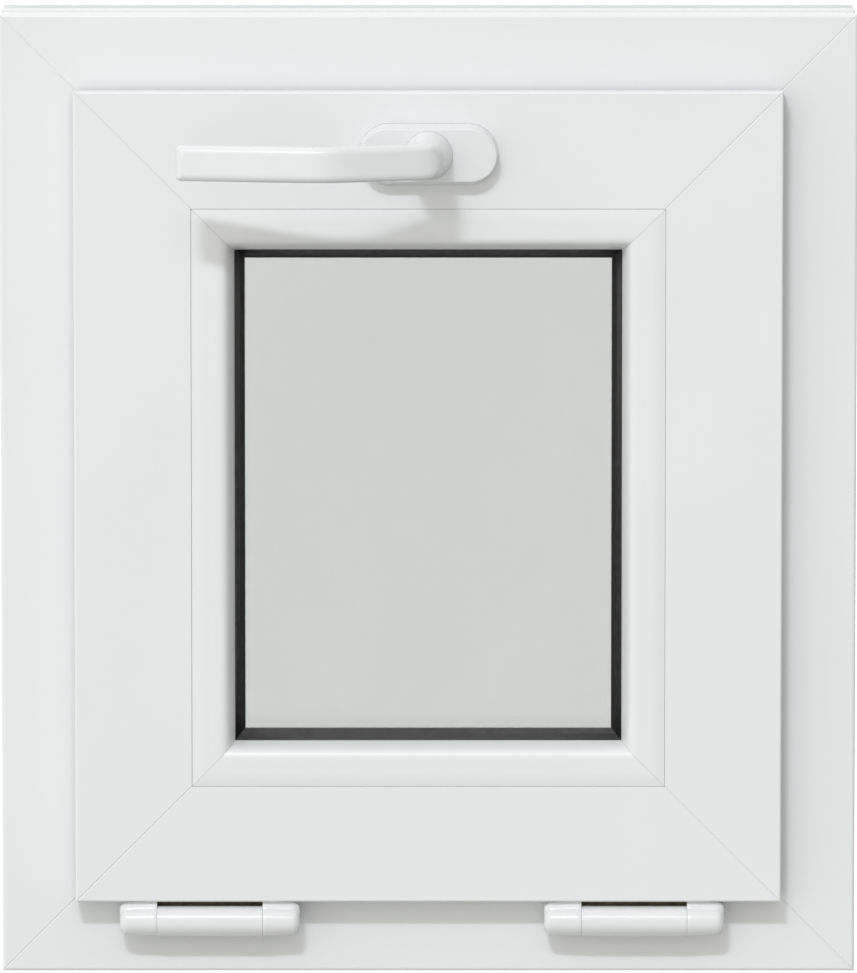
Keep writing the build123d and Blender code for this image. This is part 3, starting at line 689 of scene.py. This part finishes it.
finish_of_slot = {
    "white_profile": lying_plastic, "black_gasket": rubber, "spacer_metal": spacer_metal, "glass": glass,
    "white_coat": coating, "leaf_steel": leaf_steel, "pin_steel": pin_steel,
}
slot_of_node = {part["node"]: part["material_slot"] for part in frame["record"]["subparts"]}
for node, piece in frame["nodes"].items():
    stands = any(word in node for word in ("jamb", "stile"))
    coat(piece, standing_plastic if stands else finish_of_slot[slot_of_node[node]])
for name, bead in zip(sides, beads):
    coat(bead, standing_plastic if name in ("left", "right") else lying_plastic)
for lip in lips:
    coat(lip, rubber)
castings = (rosette, lever, caps, sleeves)
for piece in castings:
    coat(piece, coating)
print("finishes on", len(frame["nodes"]) + len(beads) + len(lips) + len(castings), "pieces")

# %% [markdown]
# ## Sums in node trees
#
# The floor and the room both ask what kind of ray arrives, and the room also asks where its light comes from. Such
# sums could be wired by hand, node after node. One helper for a step of arithmetic and one for a mix of two shaders
# let them be written like ordinary sums.

# %% Helpers for arithmetic and for mixing


def calculate(tree, operation, *values):
    """One step of arithmetic in a node tree; each value is a number or the output of another step."""
    step = tree.nodes.new("ShaderNodeMath")
    step.operation = operation
    for socket, value in zip(step.inputs, values):
        if isinstance(value, float):
            socket.default_value = value
        else:
            tree.links.new(value, socket)
    return step.outputs[0]


def mix_by(tree, share, first, second):
    """The first shader where the share is 0, the second where it is 1."""
    mix = tree.nodes.new("ShaderNodeMixShader")
    for socket, value in zip(mix.inputs, (share, first, second)):
        tree.links.new(value, socket)
    return mix.outputs["Shader"]


print("helpers for sums and mixes ready")

# %% [markdown]
# ## The studio
#
# The window stands on a pale floor that runs off so far behind it that it fills the picture. The floor is lit like
# everything else and keeps the shadow. To look white it needs a little light of its own, but only where the camera
# sees it, directly or in glass. Rays that gather soft light pass through it, so that it neither lights nor shades
# the window from below.

# %% Lay the floor
reach, floor_level = 60.0, -0.0004
floor_mesh = bpy.data.meshes.new("studio_floor")
floor_mesh.from_pydata([(x * reach, y * reach, floor_level) for x, y in ((-1, -1), (1, -1), (1, 1), (-1, 1))],
                       [], [(0, 1, 2, 3)])
floor = put_in_scene("studio_floor", floor_mesh)
paper, shader = new_finish("pale_paper", (0.5, 0.5, 0.5), 0.9, Specular_IOR_Level=0.05)
tree = paper.node_tree
ray = tree.nodes.new("ShaderNodeLightPath").outputs
seen = calculate(tree, "MAXIMUM", ray["Is Camera Ray"], ray["Is Glossy Ray"])
seen = calculate(tree, "MAXIMUM", seen, ray["Is Transmission Ray"])
shader.inputs["Emission Color"].default_value = (1.0, 1.0, 1.0, 1.0)
tree.links.new(calculate(tree, "MULTIPLY", seen, 0.86), shader.inputs["Emission Strength"])
unseen = calculate(tree, "MAXIMUM", ray["Is Diffuse Ray"], ray["Is Shadow Ray"])
clear = tree.nodes.new("ShaderNodeBsdfTransparent")
surface = mix_by(tree, unseen, shader.outputs["BSDF"], clear.outputs["BSDF"])
tree.links.new(surface, tree.nodes["Material Output"].inputs["Surface"])
coat(floor, paper)
print("floor laid", 2 * reach, "m wide")

# %% [markdown]
# ## Light
#
# Two things lit the picture: lamps and a bright room. One lamp is small, high and a little to the left, and behind
# it is a wide and low strip of light. Shadows fall down and slightly to the right, with sharp lower edges and a soft
# fringe on the right. A single lamp of middling size would blur all their edges alike. The lamps are a touch blue
# and the room's light is a touch yellow, so that what both of them reach stays white.

# %% Hang the lamps
from mathutils import Vector

travel = np.array([0.22, 1.0, -0.825])
travel = travel / np.linalg.norm(travel)
lamp_aim, lamp_distance = np.array([0.0, 0.0, 0.3]), 7.0


def look_along(thing, place, direction):
    """Puts a lamp or a camera at a place and turns it along a direction, upright."""
    thing.location = Vector(place)
    thing.rotation_mode = "QUATERNION"
    thing.rotation_quaternion = Vector(direction).to_track_quat("-Z", "Y")


def hang_lamp(name, power, wide, tall):
    """A rectangle of light; its sides are angles seen from the window, so that they say how soft shadows are."""
    data = bpy.data.lights.new(name, "AREA")
    data.shape = "RECTANGLE"
    data.size, data.size_y = wide * lamp_distance, tall * lamp_distance
    data.energy = power * math.pi * lamp_distance ** 2
    data.color = (0.93, 0.95, 1.0)
    look_along(put_in_scene(name, data), lamp_aim - lamp_distance * travel, travel)


hang_lamp("key_lamp", 0.78, 0.12, 0.04)
hang_lamp("strip_lamp", 0.42, 0.6, 0.06)
print("lamps shine along", travel.round(2).tolist())

# %% [markdown]
# The room's light is soft and comes mostly from in front and from behind. Light from all sides would darken the
# corner next to every step, and here such corners stay pale, while anything that turns sideways gets dark quickly.
# So the soft light grows with the square of how far a direction points along the depth, with some more from overhead
# and from the left. Glossy surfaces find it brighter still behind the window, which keeps the top face white.

# %% Light the room
room = bpy.data.worlds.new("white_room")
bpy.context.scene.world = room
room.use_nodes = True
tree = room.node_tree
nodes, links = tree.nodes, tree.links
ray = nodes.new("ShaderNodeLightPath").outputs
direction = nodes.new("ShaderNodeSeparateXYZ")
links.new(nodes.new("ShaderNodeTexCoord").outputs["Generated"], direction.inputs["Vector"])
x, y, z = direction.outputs
depthwise = calculate(tree, "MULTIPLY", y, y)
overhead = calculate(tree, "MAXIMUM", z, 0.0)
leftwards = calculate(tree, "MAXIMUM", calculate(tree, "MULTIPLY", x, -1.0), 0.0)
behind = calculate(tree, "MULTIPLY", calculate(tree, "MAXIMUM", y, 0.0), ray["Is Glossy Ray"])
strength = 0.19
for part, weight in ((depthwise, 0.55), (overhead, 0.5), (leftwards, 0.65), (behind, 0.5)):
    strength = calculate(tree, "MULTIPLY_ADD", part, weight, strength)
soft, white = nodes["Background"], nodes.new("ShaderNodeBackground")
soft.inputs["Color"].default_value = (1.0, 1.0, 0.955, 1.0)
links.new(strength, soft.inputs["Strength"])
white.inputs["Color"].default_value = (1.0, 1.0, 1.0, 1.0)
light = mix_by(tree, ray["Is Camera Ray"], soft.outputs["Background"], white.outputs["Background"])
links.new(light, nodes["World Output"].inputs["Surface"])
print("the room has", len(nodes), "nodes")

# %% [markdown]
# ## Camera
#
# The picture was taken from well above the window's middle, from far away, with the lens kept level. The same
# outline comes from a long lens aimed slightly down. It is placed by the distance, the angle above the horizon and
# the point it looks at, and the focal length follows from how many pixels a millimetre takes.

# %% Place the camera
aim = np.array([0.1, 0.0, 225.0]) * mm
distance, above = 5.0, math.radians(6.5)
back = np.array([0.0, -math.cos(above), math.sin(above)])
sensor, longer_side, pixels_per_mm = 36.0, 973.0, 2.1246
camera_data = bpy.data.cameras.new("camera")
camera_data.sensor_width = sensor
camera_data.lens = pixels_per_mm * (distance / mm) * sensor / longer_side
camera_data.clip_end = 200.0
camera = put_in_scene("camera", camera_data)
look_along(camera, aim + distance * back, -back)
bpy.context.scene.camera = camera
bpy.context.scene.view_settings.view_transform = "Standard"
print("lens", round(camera_data.lens, 1), "mm at", distance, "m")

# %% [markdown]
# ## Last look
#
# The looks must not change the size of the object. This last cell only loads the json module once more.

# %% Load json once more
import json
